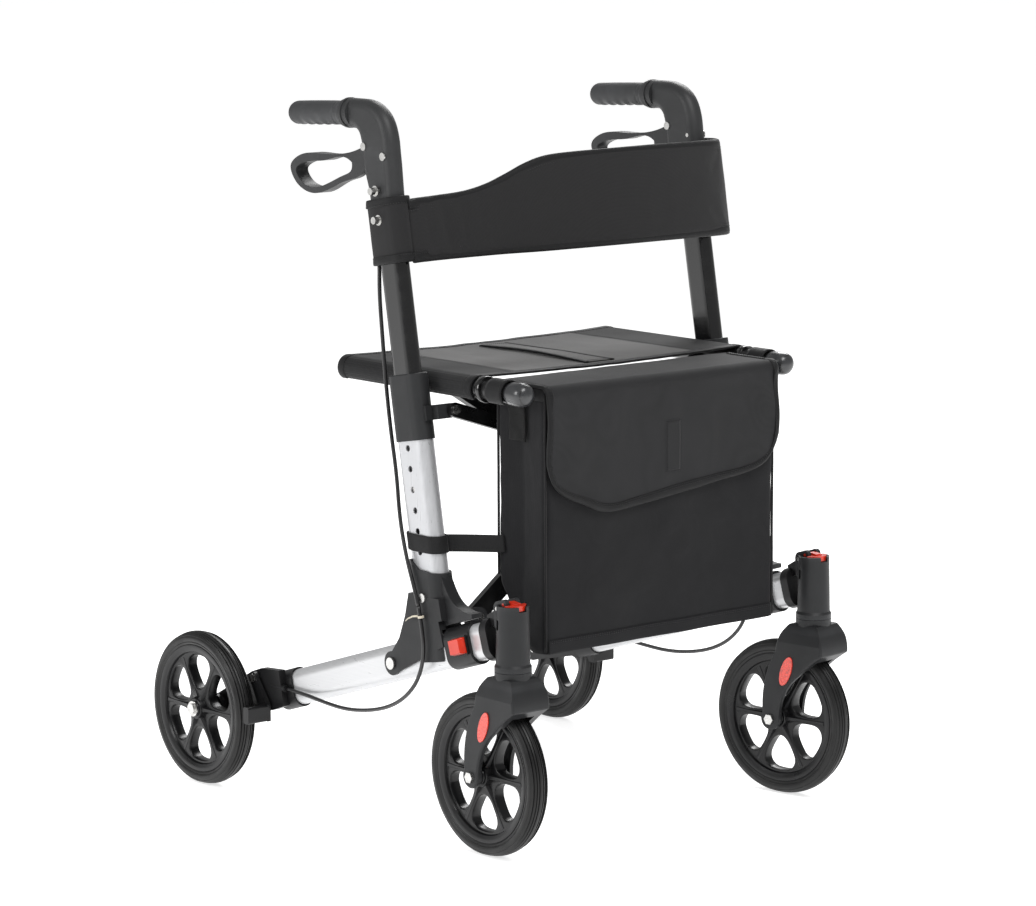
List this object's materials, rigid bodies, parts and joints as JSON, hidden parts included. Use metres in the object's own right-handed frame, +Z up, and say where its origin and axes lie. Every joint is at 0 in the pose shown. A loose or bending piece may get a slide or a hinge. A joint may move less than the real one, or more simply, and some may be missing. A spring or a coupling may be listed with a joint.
{
  "type": "rollator walker",
  "caption": "Folding rollator walker with a fabric seat, backrest band, front bag, height-adjustable handles, hand brakes and swivelling front wheels.",
  "frame": {"origin": "on the floor under the middle of the frame", "axes": "+Z up, -Y towards the front casters, +X towards the user's left"},
  "size_m": [0.632, 0.7282, 0.9015],
  "materials": {
    "silver_tube": "satin anodised",
    "black_tube": "gloss black enamel",
    "black_enamel": "semi-gloss black enamel",
    "bracket_moulding": "fine satin grain",
    "dark_moulding": "fine matte grain",
    "handle_moulding": "fine matte grain",
    "rim_plastic": "satin black",
    "tyre": "matte, grooved",
    "grip_rubber": "matte, ribbed",
    "zinc": "bright zinc",
    "red_plastic": "satin red",
    "red_reflector": "prismatic red",
    "seat_fabric": "coarse nylon",
    "backrest_fabric": "padded nylon",
    "bag_fabric": "coated nylon",
    "cable_sheath": "smooth black"
  },
  "bodies": {
    "right_base": {"lower_tube_right": "silver_tube", "end_brackets_right": "bracket_moulding", "latch_sleeve_right": "bracket_moulding", "base_pins_right": "zinc"},
    "right_hinge_button": {"hinge_button_right": "red_plastic"},
    "right_rear_wheel": {"rear_right_rim": "rim_plastic", "rear_right_tyre": "tyre"},
    "right_brake_arm": {"brake_arm_right": "dark_moulding"},
    "right_head": {"head_housing_right": "dark_moulding"},
    "right_head_lever": {"head_lever_right": "red_plastic"},
    "right_fork": {"fork_right": "dark_moulding", "fork_pins_right": "zinc", "reflectors_right": "red_reflector"},
    "right_front_wheel": {"front_right_rim": "rim_plastic", "front_right_tyre": "tyre"},
    "right_upright": {"hinge_housing_right": "dark_moulding", "outer_tube_right": "silver_tube", "collar_right": "dark_moulding", "upright_pins_right": "zinc", "brake_cables": "cable_sheath"},
    "right_handle": {"inner_tube_right": "black_tube", "handle_right": "handle_moulding", "grip_right": "grip_rubber", "handle_bolts_right": "zinc", "backrest": "backrest_fabric"},
    "right_snap_button": {"snap_button_right": "zinc"},
    "right_brake_lever": {"brake_lever_right": "handle_moulding"},
    "right_guide_link": {"guide_link_right": "black_enamel"},
    "right_seat_side": {"cross_arm_right": "black_enamel", "seat_panel_right": "seat_fabric"},
    "left_base": {"lower_tube_left": "silver_tube", "end_brackets_left": "bracket_moulding", "latch_sleeve_left": "bracket_moulding", "base_pins_left": "zinc"},
    "left_hinge_button": {"hinge_button_left": "red_plastic"},
    "left_rear_wheel": {"rear_left_rim": "rim_plastic", "rear_left_tyre": "tyre"},
    "left_brake_arm": {"brake_arm_left": "dark_moulding"},
    "left_head": {"head_housing_left": "dark_moulding"},
    "left_head_lever": {"head_lever_left": "red_plastic"},
    "left_fork": {"fork_left": "dark_moulding", "fork_pins_left": "zinc", "reflectors_left": "red_reflector"},
    "left_front_wheel": {"front_left_rim": "rim_plastic", "front_left_tyre": "tyre"},
    "left_upright": {"hinge_housing_left": "dark_moulding", "outer_tube_left": "silver_tube", "collar_left": "dark_moulding", "upright_pins_left": "zinc"},
    "left_handle": {"inner_tube_left": "black_tube", "handle_left": "handle_moulding", "grip_left": "grip_rubber", "handle_bolts_left": "zinc"},
    "left_snap_button": {"snap_button_left": "zinc"},
    "left_brake_lever": {"brake_lever_left": "handle_moulding"},
    "left_guide_link": {"guide_link_left": "black_enamel"},
    "left_seat_side": {"cross_arm_left": "black_enamel", "seat_panel_left": "seat_fabric"},
    "bag": {"bag": "bag_fabric"},
    "bag_flap": {"bag_flap": "bag_fabric"}
  },
  "joints": [
    {"name": "upright_fold", "type": "hinge", "parent": "right_base", "child": "right_upright", "pos_m": [-0.247, -0.097, 0.2115], "axis": [-1, 0, 0], "range_deg": [0, 80], "deforming": ["brake_cables"]},
    {"name": "handle_slide", "type": "slide", "parent": "right_upright", "child": "right_handle", "axis": [0, 0.1736, 0.9848], "range_m": [-0.075, 0.05], "deforming": ["brake_cables"]},
    {"name": "fold", "type": "hinge", "parent": "right_upright", "child": "left_seat_side", "pos_m": [-0.212, -0.198, 0.278], "axis": [0, -0.9848, 0.1736], "range_deg": [0, 39.5], "deforming": ["seat_panel_right", "seat_panel_left", "backrest", "bag", "bag_flap", "brake_cables"]},
    {"name": "scissor", "type": "hinge", "parent": "left_seat_side", "child": "right_seat_side", "pos_m": [0, -0.17314, 0.419], "axis": [0, -0.9848, 0.1736], "range_deg": [-79.1, 0]},
    {"name": "left_upright_pivot", "type": "hinge", "parent": "right_seat_side", "child": "left_upright", "pos_m": [0.212, -0.198, 0.278], "axis": [0, -0.9848, 0.1736], "range_deg": [0, 39.6]},
    {"name": "right_link_swing", "type": "hinge", "parent": "right_upright", "child": "right_guide_link", "pos_m": [-0.22, -0.15401, 0.5275], "axis": [0, -0.9848, 0.1736], "range_deg": [0, 87.2]},
    {"name": "left_link_swing", "type": "hinge", "parent": "left_upright", "child": "left_guide_link", "pos_m": [0.22, -0.15401, 0.5275], "axis": [0, -0.9848, 0.1736], "range_deg": [-87.2, 0]},
    {"name": "left_base_fold", "type": "hinge", "parent": "left_upright", "child": "left_base", "pos_m": [0.247, -0.097, 0.2115], "axis": [-1, 0, 0], "range_deg": [-80.1, 0]},
    {"name": "left_handle_slide", "type": "slide", "parent": "left_upright", "child": "left_handle", "axis": [0, 0.1736, 0.9848], "range_m": [-0.0751, 0.0501]},
    {"name": "bag_rise", "type": "slide", "parent": "right_upright", "child": "bag", "axis": [0, 0.1736, 0.9848], "range_m": [0, 0.2045]},
    {"name": "flap_open", "type": "hinge", "parent": "bag", "child": "bag_flap", "pos_m": [0, -0.21, 0.5685], "axis": [-1, 0, 0], "range_deg": [0, 100]},
    {"name": "right_hinge_button_press", "type": "slide", "parent": "right_base", "child": "right_hinge_button", "axis": [1, 0, 0], "range_m": [0, 0.003], "stiffness_N_per_m": 600},
    {"name": "right_rear_wheel_spin", "type": "hinge", "parent": "right_base", "child": "right_rear_wheel", "pos_m": [-0.2945, 0.264, 0.1], "axis": [1, 0, 0], "continuous": true},
    {"name": "right_head_fold", "type": "hinge", "parent": "right_base", "child": "right_head", "pos_m": [-0.247, -0.297, 0.309], "axis": [-1, 0, 0], "range_deg": [0, 90]},
    {"name": "right_head_lever_flip", "type": "hinge", "parent": "right_head", "child": "right_head_lever", "pos_m": [-0.247, -0.306, 0.315], "axis": [-1, 0, 0], "range_deg": [0, 55], "stiffness_Nm_per_rad": 0.02},
    {"name": "right_caster_swivel", "type": "hinge", "parent": "right_head", "child": "right_fork", "pos_m": [-0.247, -0.311, 0.2], "axis": [0, 0, 1], "continuous": true},
    {"name": "right_front_wheel_spin", "type": "hinge", "parent": "right_fork", "child": "right_front_wheel", "pos_m": [-0.247, -0.264, 0.1], "axis": [1, 0, 0], "continuous": true},
    {"name": "right_snap_button_press", "type": "slide", "parent": "right_handle", "child": "right_snap_button", "axis": [1, 0, 0], "range_m": [0, 0.004], "stiffness_N_per_m": 600},
    {"name": "right_brake_lever_pull", "type": "hinge", "parent": "right_handle", "child": "right_brake_lever", "pos_m": [-0.247, -0.046, 0.844], "axis": [1, 0, 0], "range_deg": [-12, 12], "stiffness_Nm_per_rad": 2},
    {"name": "right_brake_arm_swing", "type": "hinge", "parent": "right_base", "child": "right_brake_arm", "pos_m": [-0.27, 0.178, 0.15], "axis": [1, 0, 0], "range_deg": [-6.05, 6.05]},
    {"name": "left_hinge_button_press", "type": "slide", "parent": "left_base", "child": "left_hinge_button", "axis": [-1, 0, 0], "range_m": [0, 0.003], "stiffness_N_per_m": 600},
    {"name": "left_rear_wheel_spin", "type": "hinge", "parent": "left_base", "child": "left_rear_wheel", "pos_m": [0.2945, 0.264, 0.1], "axis": [1, 0, 0], "continuous": true},
    {"name": "left_head_fold", "type": "hinge", "parent": "left_base", "child": "left_head", "pos_m": [0.247, -0.297, 0.309], "axis": [-1, 0, 0], "range_deg": [0, 90]},
    {"name": "left_head_lever_flip", "type": "hinge", "parent": "left_head", "child": "left_head_lever", "pos_m": [0.247, -0.306, 0.315], "axis": [-1, 0, 0], "range_deg": [0, 55], "stiffness_Nm_per_rad": 0.02},
    {"name": "left_caster_swivel", "type": "hinge", "parent": "left_head", "child": "left_fork", "pos_m": [0.247, -0.311, 0.2], "axis": [0, 0, 1], "continuous": true},
    {"name": "left_front_wheel_spin", "type": "hinge", "parent": "left_fork", "child": "left_front_wheel", "pos_m": [0.23965, -0.26458, 0.1], "axis": [0.9877, 0.1564, 0], "continuous": true},
    {"name": "left_snap_button_press", "type": "slide", "parent": "left_handle", "child": "left_snap_button", "axis": [-1, 0, 0], "range_m": [0, 0.004], "stiffness_N_per_m": 600},
    {"name": "left_brake_lever_pull", "type": "hinge", "parent": "left_handle", "child": "left_brake_lever", "pos_m": [0.247, -0.046, 0.844], "axis": [1, 0, 0], "range_deg": [-12, 12], "stiffness_Nm_per_rad": 2},
    {"name": "left_brake_arm_swing", "type": "hinge", "parent": "left_base", "child": "left_brake_arm", "pos_m": [0.27, 0.178, 0.15], "axis": [1, 0, 0], "range_deg": [-6.05, 6.05]}
  ],
  "couplings": [
    {"joint": "scissor", "follows": "fold", "ratio": -2},
    {"joint": "left_upright_pivot", "follows": "fold", "ratio": 1},
    {"joint": "right_link_swing", "follows": "fold", "ratio": 2.205},
    {"joint": "left_link_swing", "follows": "fold", "ratio": -2.205},
    {"joint": "left_base_fold", "follows": "upright_fold", "ratio": -1},
    {"joint": "left_handle_slide", "follows": "handle_slide", "ratio": 1},
    {"joint": "bag_rise", "follows": "fold", "m_per_rad": 0.2964},
    {"joint": "right_brake_arm_swing", "follows": "right_brake_lever_pull", "ratio": 0.5},
    {"joint": "left_brake_arm_swing", "follows": "left_brake_lever_pull", "ratio": 0.5}
  ]
}
